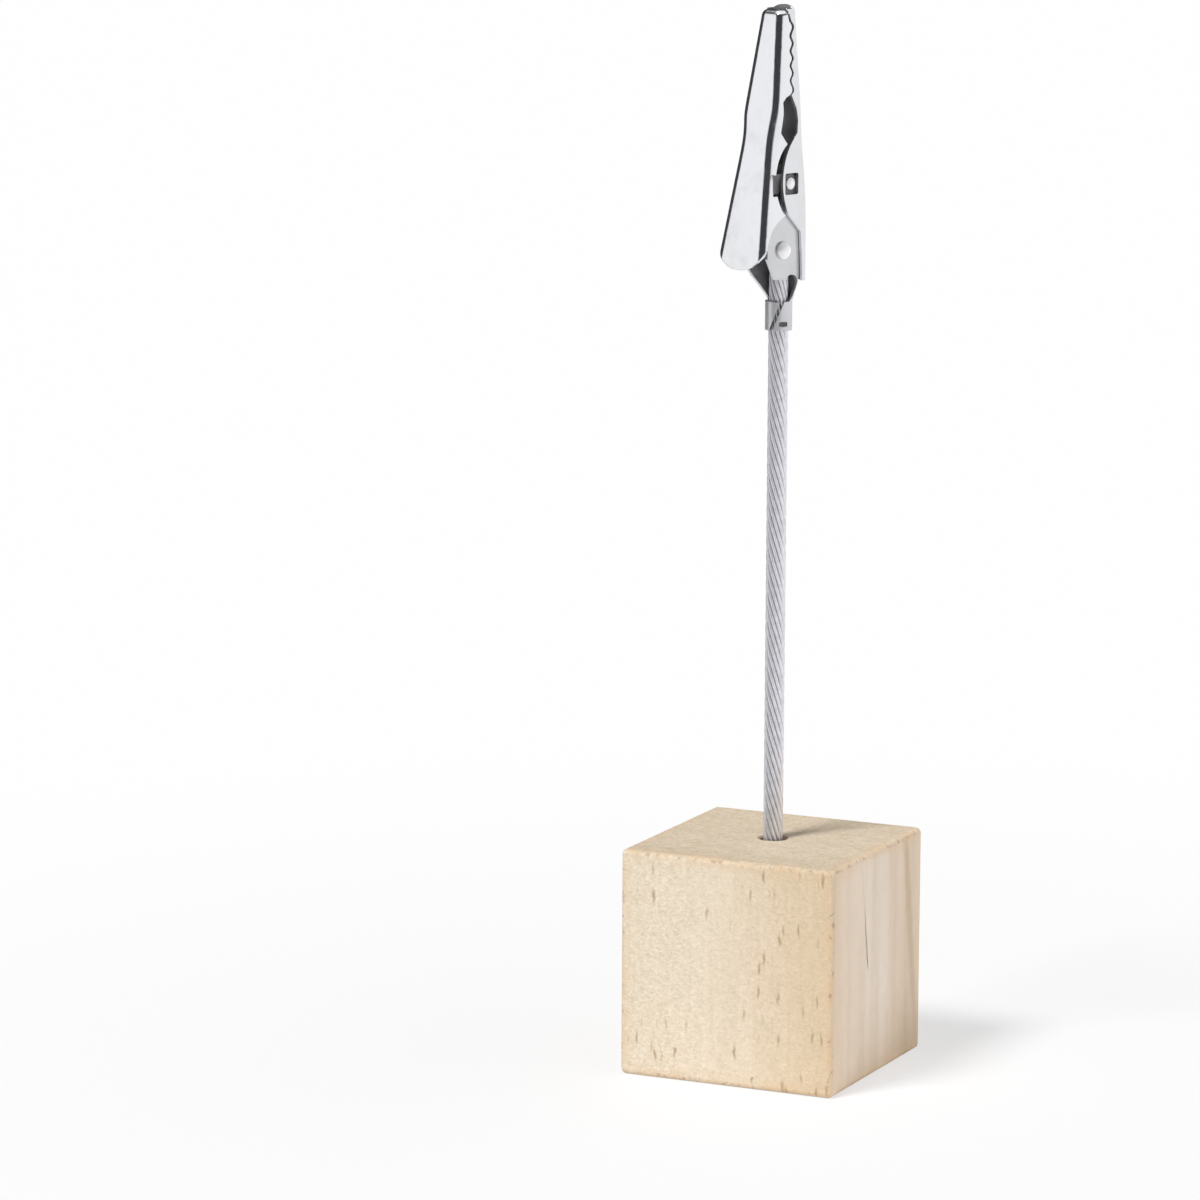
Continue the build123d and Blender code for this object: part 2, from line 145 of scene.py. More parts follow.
# Wood patterns, in cells or rings per millimetre across, deep and up
DRIFT_RATE = (0.07, 0.07, 0.025)
SWAY_RATE = (0.05, 0.05, 0.013)
FIBRE_RATE = (1.7, 1.7, 0.05)
BAND_RATE = (0.30, 0.30, 0.012)
CURL_RATE = (1.5, 1.5, 2.3)
MOTTLE_RATE = (0.5, 0.5, 0.35)
PORE_RATE = (9.0, 9.0, 1.2)
BEND_RATE = (0.8, 0.8, 0.8)
FLECK_RATE = (1.25, 0.03, 0.27)
WANDER_RATE = (0.0, 0.0, 0.25)
NICK_RATE = (0.9, 0.9, 0.7)
RING_ACROSS = 0.03
RING_DEEP = 0.16

# How far the rings sway, how sharp the late wood is, how strong the patches are, and what they leave worn
RING_SWAY = 1.6
LATE_SHARP = 3.0
MOTTLE_CONTRAST = 3.0
WEAR_PATCHES = (0.0, 0.9)
NICK_CHANCE = (0.55, 0.63)

# How strongly the late wood and the fine grain show, all over and on each way the block is cut
LATE_ALONG_GRAIN = 0.12
LATE_ON_END = 0.18
FIBRE_SHOWS = 0.12
FIBRE_LESS_ON_SIDE = 0.06
FIBRE_LESS_ON_END = 0.08
CURL_SHOWS = 0.10
CURL_ON_FRONT = 0.42
CURL_ON_LEFT = 0.22
CURL_ON_END = 0.75
MOTTLE_SHOWS = 0.12
MOTTLE_ON_END = 0.42
BAND_ON_SIDE = 0.32
GRAIN_IN_GREEN = 1.1
GRAIN_IN_BLUE = 1.5

# How strongly each mark shows on the wood
WEAR_SHOWS = 0.5
NICK_SHOWS = 0.6
FLECK_SHOWS = 0.78
CHECK_SHOWS = 0.85
RIM_SHADE_SHOWS = 0.6

# Wood to the touch: how rough and shiny it is, what stands up from it and what sinks in
WOOD_ROUGH = 0.60
CURL_ROUGH = 0.2
FLECK_ROUGH = 0.1
WOOD_SHINE = 0.3
WOOD_RELIEF = 0.04
WOOD_BUMP = 0.8
FIBRE_RISE = 0.5
PORE_RISE = 0.35
CURL_RISE = 0.4
FLECK_SINK = 0.6
NICK_SINK = 0.8
CHECK_SINK = 1.5

# Front: where the tan part grows, how far its edge drifts, and where the curly figure is stronger
FRONT_TAN_GROWS = (0.0, 17.0)
FRONT_DRIFT = 26
CURLY_LEFT = (2.0, -10.0)

# Flecks: how far they bend, their soft edge in their cell and how much their sizes differ
FLECK_BEND = 0.7
FLECK_EDGE = (0.44, 0.04)
FLECK_UNEVEN = 0.18

# Where the flecks crowd: the soft limits, the share of cells that hold one, and how soft that choice is
LOW_LEFT_ACROSS = (-3.0, -8.0)
LOW_LEFT_UP = (15.0, 9.0)
RIGHT_HALF = (-1.0, 5.0)
NEAR_TOP_OR_FOOT = (12.0, 16.5)
FLECKS_ANYWHERE = 0.03
FLECKS_LOW_LEFT = 0.36
FLECKS_RIGHT = 0.20
FLECKS_NEAR_EDGE = 0.22
FLECK_CHOICE = (0.0, 0.02)

# Right side: the grain leans back as it goes down, with a check, a tan part, a brown streak and painted
# shade that darkens it towards the foot, most at the back
GRAIN_LEAN = 0.17
CHECK_DEPTH = -6.8
CHECK_WANDER = 0.9
CHECK_HALF = (0.26, 0.06)
CHECK_TINT_HALF = (1.3, 0.1)
CHECK_TINT_FOOT = (11.0, 20.0)
CHECK_TINT = 0.5
CHECK_FOOT = (16.5, 18.5)
CHECK_OPENS = (28.0, 22.0)
CHECK_FAINT = 0.12
CHECK_SKIN = (16.5, 17.3)
BACK_TAN_GROWS = (3.0, 4.6)
BACK_TAN_LEAN = 0.3
BACK_TAN = 0.8
# Painted shade: where the side darkens towards its foot
FOOT_SHADE_GROWS = (16.0, -2.0)
NEAR_TAN_GROWS = (1.0, -16.0)
NEAR_TAN = 0.95
STREAK_DEPTH = 10.6
STREAK_LEAN = 0.9
STREAK_WANDER = 0.8
STREAK_HALF = (1.8, 0.2)
STREAK_BROWN = 0.6
# Painted shade low on the right side, most at the back
LOW_BACK_UP = (13.0, 0.0)
LOW_BACK_DEEP = (0.0, 13.0)
LOW_BACK_SHADE = 0.55

# Top: its front strip is darker, and painted shade makes the drilled rim and the mouth of the hole darkest
TOP_FRONT_STRIP = (-7.0, -16.0)
STRIP_DARK = 0.35
RIM_REACH = (2.7, 2.05)
RIM_LOW = (30.0, 34.0)

# Rope: one core wire, six round it and twelve outside, with painted shade in the grooves, most on one side
WIRES_ACROSS = 5
WIRE_RADIUS = ROPE_RADIUS / WIRES_ACROSS
INNER_RING = 2 * WIRE_RADIUS
OUTER_RING = 4 * WIRE_RADIUS
INNER_WIRES = 6
OUTER_WIRES = 12
ROPE_LAY = 27.0
WIRE_SIDES = 12
WIRE_STEP = 0.75
CUT_UNEVEN = 0.35
CUT_END = 0.1
GROOVE = (1.20, 1.40)
# Painted shade in the rope's grooves: the turn of its darker side, where that side grows, and how much shows
# all round and on it
GROOVE_SHADE_TURN = -65
GROOVE_SHADE_GROWS = (-0.3, 0.8)
GROOVE_SHADE_ANYWHERE = 0.10
GROOVE_SHADE_ON_SIDE = 0.50
GROOVE_SHADE = (0.16, 0.16, 0.175, 1)
ROPE_ZINC = (0.83, 0.83, 0.87, 1)
ROPE_ROUGH = 0.45

# Wire: its patterns in cells per millimetre, and how strongly they dull, roughen and raise it
BLOOM_RATE = 0.9
DRAWN_RATE = (14.0, 14.0, 1.2)
BLOOM_GROWS = (0.38, 0.72)
BLOOM_DULLED = 0.86
BLOOM_ROUGH = 0.25
DRAWN_ROUGH = 0.12
BLOOM_RISE = 0.5
DRAWN_RISE = 0.5
WIRE_RELIEF = 0.012

# Clip, from its foot on the rope
EAR_HALF = 1.6
EAR_OUT = 3.7
EAR_DEPTH = 5.6
LOWER_MIDDLE = 4.0
LOWER_HEEL = 19.0
HEEL_FADE = 1.5
HEEL_WALL = (2.95, 2.8)
RECESS_HIGH = 17.6
RECESS_FADE = 0.8
CRIMP_OUT = 2.05
CRIMP_TOP = (6.0, 4.0)
MARK_HIGH = 1.0
MARK_DEEP = (0.05, 0.2)
MARK_HALF = (0.6, 0.4)
MASK_FADE = 0.1

# Plate: colours, roughness, patterns in cells per millimetre, their slant in radians, soft edges and relief
UPPER_NICKEL = (0.84, 0.85, 0.875, 1)
LOWER_NICKEL = (0.77, 0.775, 0.795, 1)
# Darker than the jaws: painted shade on the bracket, which sits recessed inside the jaws' walls
BRACKET_NICKEL_SHADED = (0.64, 0.645, 0.66, 1)
# Near-white and mostly diffuse: a painted bright reflection on the rivet and pin heads
RIVET_GLARE_WHITE = (0.95, 0.95, 0.96, 1)
# Painted shade inside the channel, and darker where another piece covers the plate or a tool pressed it
INSIDE_SHADE_GREY = (0.25, 0.25, 0.26, 1)
COVERED_SHADE_GREY = (0.13, 0.13, 0.135, 1)
JAW_ROUGH = 0.12
BRACKET_ROUGH = 0.18
RIVET_ROUGH = 0.3
RIVET_DIFFUSE_GLARE = 0.85
HAZE_RATE = 0.22
RUB_RATE = (3.0, 3.0, 0.25)
RUB_SLANT = (0, 0.2, 0.35)
SPECK_RATE = 4.0
SPECK_CHANCE = (0.68, 0.76)
WAVE_RATE = 0.45
EDGE_ROUND = 0.16
EDGE_SAMPLES = 6
PLATE_RELIEF = 0.03

# How strongly haze, rub marks and specks tint, roughen and raise the plate, and how rough the crimp is
HAZE_TINT_GROWS = (0.45, 0.75)
HAZE_TINT = 0.5
SPECK_TINT = 0.25
PLATE_DULLED = 0.88
HAZE_ROUGH_GROWS = (0.4, 0.8)
HAZE_ROUGH = 0.07
RUB_ROUGH_GROWS = (0.5, 0.8)
RUB_ROUGH = 0.05
SPECK_ROUGH = 0.1
CRIMP_ROUGH = 0.2
RUB_RISE = 0.04
SPECK_RISE = 0.02

# Inside of the channel, where shade is painted: how far a face looks inwards, and how much rougher and less
# metallic it is
LOOKS_INWARDS = (-0.1, -0.5)
INSIDE_ROUGH = 0.2
INSIDE_DULL = 0.75

# Spring on the pivot pin: wire, coil, the reach that picks a cut end, and depth and height of each leg's end
SPRING_WIRE = 0.5
SPRING_RADIUS = 1.3
SPRING_PITCH = 1.0
SPRING_TURNS = 2
SPRING_SIDES = 14
SPRING_STEPS = 96
SPRING_PICK = 0.52 * SPRING_WIRE
TAIL_LEG = (-1.26, 10.6)
LEVER_LEG = (7.368, 14.0)
SPRING_STEEL = (0.66, 0.66, 0.67, 1)
SPRING_ROUGH = 0.28

# Glue in the hole
GLUE_CLEAR = (0.62, 0.50, 0.30, 1)
GLUE_DARK = (0.44, 0.33, 0.18, 1)
GLUE_RATE = 1.3
GLUE_CLOUDS = (0.35, 0.7)
GLUE_ROUGH = 0.25
GLUE_CLOUD_ROUGH = 0.2
GLUE_RELIEF = 0.08

# Mesh making
MERGE_WITHIN = 0.001
SMOOTH_BELOW = 40

clip_turned = Matrix.Rotation(math.radians(CLIP_TURN), 4, "Z")
clip_place = Matrix.Translation((0, 0, CLIP_HIGH * MM)) @ clip_turned


class Value:
    """A value in a node tree, with arithmetic that adds Math nodes."""

    def __init__(self, shop, socket):
        self.shop = shop
        self.socket = socket

    def maths(self, operation, other=0.0):
        return self.shop.node("ShaderNodeMath", {"operation": operation}, {0: self, 1: other})

    def __add__(self, other):
        return self.maths("ADD", other)

    def __sub__(self, other):
        return self.maths("SUBTRACT", other)

    def __mul__(self, other):
        return self.maths("MULTIPLY", other)

    def __truediv__(self, other):
        return self.maths("DIVIDE", other)

    def __pow__(self, other):
        return self.maths("POWER", other)

    def __abs__(self):
        return self.maths("ABSOLUTE")

    def __neg__(self):
        return self.maths("MULTIPLY", -1.0)

    def __rsub__(self, other):
        return self.shop.node("ShaderNodeMath", {"operation": "SUBTRACT"}, {0: other, 1: self})

    __radd__ = __add__
    __rmul__ = __mul__

    def greatest(self, other):
        return self.maths("MAXIMUM", other)

    def least(self, other):
        return self.maths("MINIMUM", other)

    def between(self, low, high):
        """0 below low, 1 above high, smooth between; low may be the larger."""
        settings = {"interpolation_type": "SMOOTHSTEP", "clamp": True}
        return self.shop.node("ShaderNodeMapRange", settings, {"Value": self, 1: low, 2: high})


class Shop:
    """A node tree that finishes are mixed in."""

    def __init__(self, tree):
        self.tree = tree
        self.tree.nodes.clear()

    def node(self, kind, settings, inputs, out=0):
        """Adds a node and gives the output named, a list of them for a tuple, or nothing for None."""
        made = self.tree.nodes.new(kind)
        for key, value in settings.items():
            if key == "stops":
                stops = made.color_ramp.elements
                while len(stops) < len(value):
                    stops.new(1.0)
                for stop, (position, colour) in zip(stops, value):
                    stop.position = position
                    stop.color = colour
            else:
                setattr(made, key, value)
        for key, value in inputs.items():
            if isinstance(value, Value):
                self.tree.links.new(value.socket, made.inputs[key])
            else:
                made.inputs[key].default_value = value
        if isinstance(out, tuple):
            return [Value(self, made.outputs[name]) for name in out]
        return None if out is None else Value(self, made.outputs[out])

    def colours(self, factor, first, second, mode="MIX"):
        settings = {"data_type": "RGBA", "blend_type": mode}
        return self.node("ShaderNodeMix", settings, {0: factor, 6: first, 7: second}, 2)

    def place(self):
        """Object coordinates, in metres."""
        return self.node("ShaderNodeTexCoord", {}, {}, "Object")

    def millimetres(self):
        return self.stretched(self.place(), (1 / MM, 1 / MM, 1 / MM))

    def facing(self):
        return self.node("ShaderNodeTexCoord", {}, {}, "Normal")

    def parts(self, vector):
        return self.node("ShaderNodeSeparateXYZ", {}, {0: vector}, ("X", "Y", "Z"))

    def stretched(self, place, scale, turn=(0, 0, 0)):
        return self.node("ShaderNodeMapping", {}, {"Vector": place, "Scale": scale, "Rotation": turn})

    def noise(self, place, rate, detail=2.0, roughness=0.5, curl=0.0):
        """Cloudy noise from 0 to 1; the rate is one number, or one for each axis."""
        if isinstance(rate, tuple):
            place, rate = self.stretched(place, rate), 1.0
        inputs = {"Vector": place, "Scale": rate, "Detail": detail}
        inputs.update({"Roughness": roughness, "Distortion": curl})
        return self.node("ShaderNodeTexNoise", {}, inputs)

    def bump(self, height, distance, strength=1.0, normal=None):
        inputs = {"Height": height, "Distance": distance, "Strength": strength}
        if normal is not None:
            inputs["Normal"] = normal
        return self.node("ShaderNodeBump", {}, inputs)

    def surface(self, inputs):
        shader = self.node("ShaderNodeBsdfPrincipled", {}, inputs)
        self.node("ShaderNodeOutputMaterial", {}, {"Surface": shader}, None)


def finish_shop(name):
    material = bpy.data.materials.new(name)
    material.use_nodes = True
    return material, Shop(material.node_tree)


def duller(colour, share):
    return tuple(share * part for part in colour[:3]) + (1,)


def from_axis(x, y):
    """Distance from the upright axis that the block, the rope and the clip share."""
    return (x * x + y * y) ** 0.5


def ray_flecks(shop, place):
    """Short brown flecks, each a little bent, most of them low on the left and up the right half."""
    x, y, z = shop.parts(place)
    bend = (shop.noise(place, BEND_RATE, detail=1.0) - 0.5) * FLECK_BEND
    across, deep, up = FLECK_RATE
    cells = shop.node("ShaderNodeCombineXYZ", {}, {0: (x + bend) * across, 1: y * deep, 2: z * up})
    apart, draw = shop.node(
        "ShaderNodeTexVoronoi", {"voronoi_dimensions": "3D", "feature": "F1"},
        {"Vector": cells, "Scale": 1.0, "Randomness": 1.0}, ("Distance", "Color"))
    chance, size = shop.node("ShaderNodeSeparateColor", {}, {0: draw}, ("Red", "Green"))
    crowd = FLECKS_ANYWHERE + x.between(*LOW_LEFT_ACROSS) * z.between(*LOW_LEFT_UP) * FLECKS_LOW_LEFT
    crowd = crowd + x.between(*RIGHT_HALF) * FLECKS_RIGHT
    crowd = crowd + abs(z - HALF).between(*NEAR_TOP_OR_FOOT) * FLECKS_NEAR_EDGE
    chosen = (chance - (1 - crowd)).between(*FLECK_CHOICE)
    return (apart + (0.5 - size) * FLECK_UNEVEN).between(*FLECK_EDGE) * chosen


def front_wood(shop, place, late):
    x = shop.parts(place)[0]
    drift = shop.noise(place, DRIFT_RATE) - 0.5
    tan = (x + drift * FRONT_DRIFT).between(*FRONT_TAN_GROWS)
    colour = shop.colours(tan, FRONT_PALE, FRONT_TAN)
    return shop.colours(late * LATE_ALONG_GRAIN, colour, FRONT_LATE)


def side_wood(shop, place, late):
    """Colour of the sides, with painted shade towards the foot, and the fine check that opens half way down
    the right one.
    """
    x, y, z = shop.parts(place)
    lean = (BLOCK - z) * GRAIN_LEAN
    wander = shop.noise(place, WANDER_RATE) - 0.5
    from_check = abs(y - CHECK_DEPTH - lean + wander * CHECK_WANDER)
    check_long = z.between(*CHECK_FOOT) * (CHECK_FAINT + z.between(*CHECK_OPENS) * (1 - CHECK_FAINT))
    check = from_check.between(*CHECK_HALF) * check_long * x.between(*CHECK_SKIN)

    tan = (y - lean * BACK_TAN_LEAN).between(*BACK_TAN_GROWS) * BACK_TAN
    # Towards the foot the tan is painted shade
    tan = tan.greatest(z.between(*FOOT_SHADE_GROWS)).greatest(y.between(*NEAR_TAN_GROWS) * NEAR_TAN)
    tan = tan.greatest(from_check.between(*CHECK_TINT_HALF) * z.between(*CHECK_TINT_FOOT) * CHECK_TINT)
    colour = shop.colours(tan, SIDE_PALE, SIDE_TAN)
    colour = shop.colours(late * LATE_ALONG_GRAIN, colour, SIDE_LATE)

    from_streak = abs(y - STREAK_DEPTH - lean * STREAK_LEAN + wander * STREAK_WANDER)
    # Painted shade low at the back, in the streak's brown
    low_back_shade = z.between(*LOW_BACK_UP) * y.between(*LOW_BACK_DEEP)
    brown = (from_streak.between(*STREAK_HALF) * STREAK_BROWN).greatest(low_back_shade * LOW_BACK_SHADE)
    return shop.colours(brown, colour, SIDE_BROWN_AND_SHADE), check


def end_wood(shop, place, late, patches):
    y = shop.parts(place)[1]
    colour = shop.colours(patches.between(0.0, 1.0), END_PALE, END_TAN)
    dark = late * LATE_ON_END + y.between(*TOP_FRONT_STRIP) * STRIP_DARK
    return shop.colours(dark, colour, END_LATE)


def worn_edges(shop, place, patches):
    """Where hands and the bench rub the block's edges, and where they nick them."""
    x, y, z = shop.parts(place)
    across, deep, up = abs(x) / HALF, abs(y) / HALF, abs(z - HALF) / HALF
    near_edge = across.greatest(deep).least(deep.greatest(up)).least(up.greatest(across))
    worn = near_edge.between(*EDGE_RUBBED) * patches.between(*WEAR_PATCHES)
    nicks = shop.noise(place, NICK_RATE, detail=3.0, roughness=0.7).between(*NICK_CHANCE)
    return worn, nicks * near_edge.between(*EDGE_NICKED)


def sanded_beech():
    """Pale hardwood: grain upright, ray flecks on the front and back, rings across the depth."""
    material, shop = finish_shop("sanded_beech")
    place = shop.millimetres()
    x, y, z = shop.parts(place)
    on_side, on_front, on_end = (abs(part).between(*FACE_SQUARE) for part in shop.parts(shop.facing()))

    # Rings, long upright fibres, a curly figure and pores
    sway = shop.noise(place, SWAY_RATE, detail=1.0) - 0.5
    ring = (y * RING_DEEP + x * RING_ACROSS + sway * RING_SWAY) * (2 * math.pi)
    late = (ring.maths("SINE") * 0.5 + 0.5) ** LATE_SHARP
    fibre = shop.noise(place, FIBRE_RATE, detail=3.0, roughness=0.6) - 0.5
    band = shop.noise(place, BAND_RATE, detail=1.0) - 0.5
    curl = shop.noise(place, CURL_RATE, detail=3.0, roughness=0.7, curl=0.8) - 0.5
    mottle = shop.noise(place, MOTTLE_RATE, detail=3.0, roughness=0.6) - 0.5
    patches = mottle * MOTTLE_CONTRAST + 0.5
    pores = shop.noise(place, PORE_RATE, roughness=0.6)

    # Colour of each way the wood is cut
    side, check = side_wood(shop, place, late)
    colour = shop.colours(on_side, front_wood(shop, place, late), side)
    colour = shop.colours(on_end, colour, end_wood(shop, place, late, patches))

    # Fine grain over all of it, strongest in the blue
    curly_front = CURL_ON_FRONT + x.between(*CURLY_LEFT) * CURL_ON_LEFT
    grain = fibre * (FIBRE_SHOWS - on_side * FIBRE_LESS_ON_SIDE - on_end * FIBRE_LESS_ON_END)
    grain = grain + curl * (CURL_SHOWS + on_front * curly_front + on_end * CURL_ON_END)
    grain = grain + mottle * (MOTTLE_SHOWS + on_end * MOTTLE_ON_END) + band * on_side * BAND_ON_SIDE
    red, green, blue = 1 + grain, 1 + grain * GRAIN_IN_GREEN, 1 + grain * GRAIN_IN_BLUE
    shade = shop.node("ShaderNodeCombineColor", {}, {0: red, 1: green, 2: blue})
    colour = shop.colours(1.0, colour, shade, "MULTIPLY")

    # Marks: rubbed edges, nicks, flecks, the check and painted shade at the drilled rim
    worn, nicks = worn_edges(shop, place, patches)
    nicks = nicks * (1 - on_end)
    fleck = ray_flecks(shop, place) * on_front
    # Painted shade at the rim and down into the hole
    rim_shade = from_axis(x, y).between(*RIM_REACH) * z.between(*RIM_LOW)
    marks = (
        (worn * WEAR_SHOWS, EDGE_WARM), (nicks * NICK_SHOWS, NICK_BROWN), (fleck * FLECK_SHOWS, FLECK_BROWN),
        (check * CHECK_SHOWS, CHECK_DARK), (rim_shade * RIM_SHADE_SHOWS, RIM_SHADE_DARK))
    for share, mark in marks:
        colour = shop.colours(share, colour, mark)

    rough = WOOD_ROUGH + curl * CURL_ROUGH + fleck * FLECK_ROUGH
    height = fibre * FIBRE_RISE + pores * PORE_RISE + curl * CURL_RISE
    height = height - fleck * FLECK_SINK - nicks * NICK_SINK - check * CHECK_SINK
    normal = shop.bump(height, WOOD_RELIEF * MM, WOOD_BUMP)
    shop.surface(
        {"Base Color": colour, "Roughness": rough, "Normal": normal, "Specular IOR Level": WOOD_SHINE})
    return material


def nickel_plate(name, colour, rough, middle=PIVOT_DEPTH, heel=0, recess=0, ears=False, diffuse_share=0.0):
    """Bright plate on stamped steel: soft edges, faint rub marks, and painted shade inside the channel,
    which is also duller.

    middle is the depth that the inside faces, heel the height under which the cut edges stay bright,
    free of the painted shade, recess the height above which another jaw covers the plate and shade is
    painted, also in the pressed mark, ears whether it has the ears that step inwards to the pin, which
    get painted shade, and diffuse_share how much of the metal is made diffuse all over, which paints a
    bright reflection as white.
    """
    material, shop = finish_shop(name)
    place = shop.millimetres()
    turn = (0, 0, math.radians(-CLIP_TURN))
    x, y, z = shop.parts(shop.stretched(place, (1, 1, 1), turn))
    nx, ny = shop.parts(shop.stretched(shop.facing(), (1, 1, 1), turn))[:2]
    high = z - CLIP_HIGH

    # Painted shade on the inside of the channel, which is also duller, and on the parts that another piece
    # covers or a tool pressed in
    inside = (nx * x + ny * (y + middle)).between(*LOOKS_INWARDS)
    if heel:
        inside = inside * abs(x).between(*HEEL_WALL).greatest(high.between(heel - HEEL_FADE, heel))
    # Painted shade on the ears, deep in the gap by the pin
    if ears:
        ear_shade = abs(high - PIVOT_HIGH).between(EAR_HALF + MASK_FADE, EAR_HALF)
        ear_shade = ear_shade * abs(x).between(EAR_OUT + MASK_FADE, EAR_OUT)
        inside = inside.greatest(ear_shade * (y + EAR_DEPTH).between(-MASK_FADE, MASK_FADE))
    haze = shop.noise(place, HAZE_RATE, detail=3.0, roughness=0.6)
    rub = shop.noise(shop.stretched(place, RUB_RATE, RUB_SLANT), 1.0)
    specks = shop.noise(place, SPECK_RATE, roughness=0.6).between(*SPECK_CHANCE)
    tint = haze.between(*HAZE_TINT_GROWS) * HAZE_TINT + specks * SPECK_TINT
    base = shop.colours(tint, colour, duller(colour, PLATE_DULLED))
    base = shop.colours(inside, base, INSIDE_SHADE_GREY)
    roughness = rough + haze.between(*HAZE_ROUGH_GROWS) * HAZE_ROUGH
    roughness = roughness + rub.between(*RUB_ROUGH_GROWS) * RUB_ROUGH + specks * SPECK_ROUGH
    # Painted shade where another jaw covers the plate and in the pressed mark
    if recess:
        covered_shade = high.between(recess, recess + RECESS_FADE)
        pressed = from_axis(x, y).between(*(CRIMP_OUT - deep for deep in MARK_DEEP))
        pressed = pressed * abs(high - MARK_HIGH).between(*MARK_HALF)
        covered_shade = covered_shade.greatest(pressed)
        inside = inside.greatest(covered_shade)
        base = shop.colours(covered_shade, base, COVERED_SHADE_GREY)
        roughness = roughness + high.between(*CRIMP_TOP) * CRIMP_ROUGH
    roughness = roughness + inside * INSIDE_ROUGH

    soft = shop.node("ShaderNodeBevel", {"samples": EDGE_SAMPLES}, {"Radius": EDGE_ROUND * MM})
    waves = shop.noise(place, WAVE_RATE, detail=1.0)
    height = waves + rub * RUB_RISE + specks * SPECK_RISE
    normal = shop.bump(height, PLATE_RELIEF * MM, normal=soft)
    # A diffuse share paints a bright reflection as a white surface
    metal = (1 - inside * INSIDE_DULL) * (1 - diffuse_share)
    shop.surface({"Base Color": base, "Metallic": metal, "Roughness": roughness, "Normal": normal})
    return material


def drawn_wire(name, colour, rough, groove):
    """Drawn steel wire: fine lines along it, a grey bloom and, in a rope's grooves, painted shade."""
    material, shop = finish_shop(name)
    place = shop.millimetres()
    bloom = shop.noise(place, BLOOM_RATE, detail=3.0, roughness=0.6)
    lines = shop.noise(place, DRAWN_RATE)
    base = shop.colours(bloom.between(*BLOOM_GROWS), colour, duller(colour, BLOOM_DULLED))
    # Painted shade in the grooves, strongest on one side
    if groove:
        x, y = shop.parts(place)[:2]
        bottom, top = groove
        deep = from_axis(x, y).between(top, bottom)
        turn = math.radians(GROOVE_SHADE_TURN)
        shade_side = (x * math.sin(turn) - y * math.cos(turn)).between(*GROOVE_SHADE_GROWS)
        base = shop.colours(deep * (GROOVE_SHADE_ANYWHERE + shade_side * GROOVE_SHADE_ON_SIDE), base, GROOVE_SHADE)
    roughness = rough + (bloom - 0.5) * BLOOM_ROUGH + (lines - 0.5) * DRAWN_ROUGH
    normal = shop.bump(lines * DRAWN_RISE + bloom * BLOOM_RISE, WIRE_RELIEF * MM)
    shop.surface({"Base Color": base, "Metallic": 1.0, "Roughness": roughness, "Normal": normal})
    return material


def cured_glue():
    material, shop = finish_shop("cured_glue")
    cloud = shop.noise(shop.millimetres(), GLUE_RATE, detail=3.0)
    colour = shop.colours(cloud.between(*GLUE_CLOUDS), GLUE_CLEAR, GLUE_DARK)
    rough = GLUE_ROUGH + cloud * GLUE_CLOUD_ROUGH
    normal = shop.bump(cloud, GLUE_RELIEF * MM)
    shop.surface({"Base Color": colour, "Roughness": rough, "Normal": normal})
    return material


def pale_paper():
    """Pale paper that looks nearly white, and whiter away from the object's shadow."""
    material, shop = finish_shop("pale_paper")
    place = shop.place()
    cloud = shop.noise(place, PAPER_CLOUD_RATE)
    colour = shop.colours(cloud * PAPER_CLOUD_SHOWS, PAPER_COLOUR, PAPER_CLOUD)
    rough = PAPER_ROUGH + cloud * PAPER_CLOUD_ROUGH
    inputs = {"Base Color": colour, "Roughness": rough, "Specular IOR Level": PAPER_SHINE}
    paper = shop.node("ShaderNodeBsdfPrincipled", {}, inputs)
    glow = shop.node("ShaderNodeEmission", {}, {"Color": WHITE, "Strength": 1.0})
    x, y = shop.parts(place)[:2]
    far = from_axis(x, y).between(*GLOW_GROWS)
    seen = shop.node("ShaderNodeLightPath", {}, {}, "Is Camera Ray")
    share = seen * (PAPER_GLOW + far * (PAPER_FAR_GLOW - PAPER_GLOW))
    both = shop.node("ShaderNodeMixShader", {}, {0: share, 1: paper, 2: glow})
    shop.node("ShaderNodeOutputMaterial", {}, {"Surface": both}, None)
    return material


def clear_selection():
    if bpy.context.object and bpy.context.object.mode != "OBJECT":
        bpy.ops.object.mode_set(mode="OBJECT")
    bpy.ops.object.select_all(action="DESELECT")


def pick(thing):
    """Selects this object alone and makes it the active one."""
    clear_selection()
    thing.select_set(True)
    bpy.context.view_layer.objects.active = thing


def pick_points(thing, wanted):
    """Selects the points of a mesh for which wanted(place) holds, and goes into edit mode."""
    bpy.ops.object.mode_set(mode="EDIT")
    bpy.ops.mesh.select_mode(type="VERT")
    bpy.ops.mesh.select_all(action="DESELECT")
    bpy.ops.object.mode_set(mode="OBJECT")
    for point in thing.data.vertices:
        point.select = wanted(point.co)
    bpy.ops.object.mode_set(mode="EDIT")


def settle():
    """Moves the active object's place, turn and scale into its mesh."""
    bpy.ops.object.transform_apply(location=True, rotation=True, scale=True)


def close_and_turn_out():
    """Merges doubles, closes open ends and turns every face of the active mesh outwards."""
    bpy.ops.object.mode_set(mode="EDIT")
    bpy.ops.mesh.select_all(action="SELECT")
    bpy.ops.mesh.remove_doubles(threshold=MERGE_WITHIN * MM)
    bpy.ops.mesh.fill_holes(sides=0)
    bpy.ops.mesh.select_all(action="SELECT")
    bpy.ops.mesh.normals_make_consistent(inside=False)
    bpy.ops.object.mode_set(mode="OBJECT")
    bpy.ops.object.shade_smooth_by_angle(angle=math.radians(SMOOTH_BELOW))


def helix(thing, turn, climb, steps):
    screw = thing.modifiers.new("helix", "SCREW")
    screw.axis = "Z"
    screw.angle = turn
    screw.screw_offset = climb
    screw.steps = steps
    screw.render_steps = steps
    screw.use_merge_vertices = False
    bpy.ops.object.modifier_apply(modifier="helix")


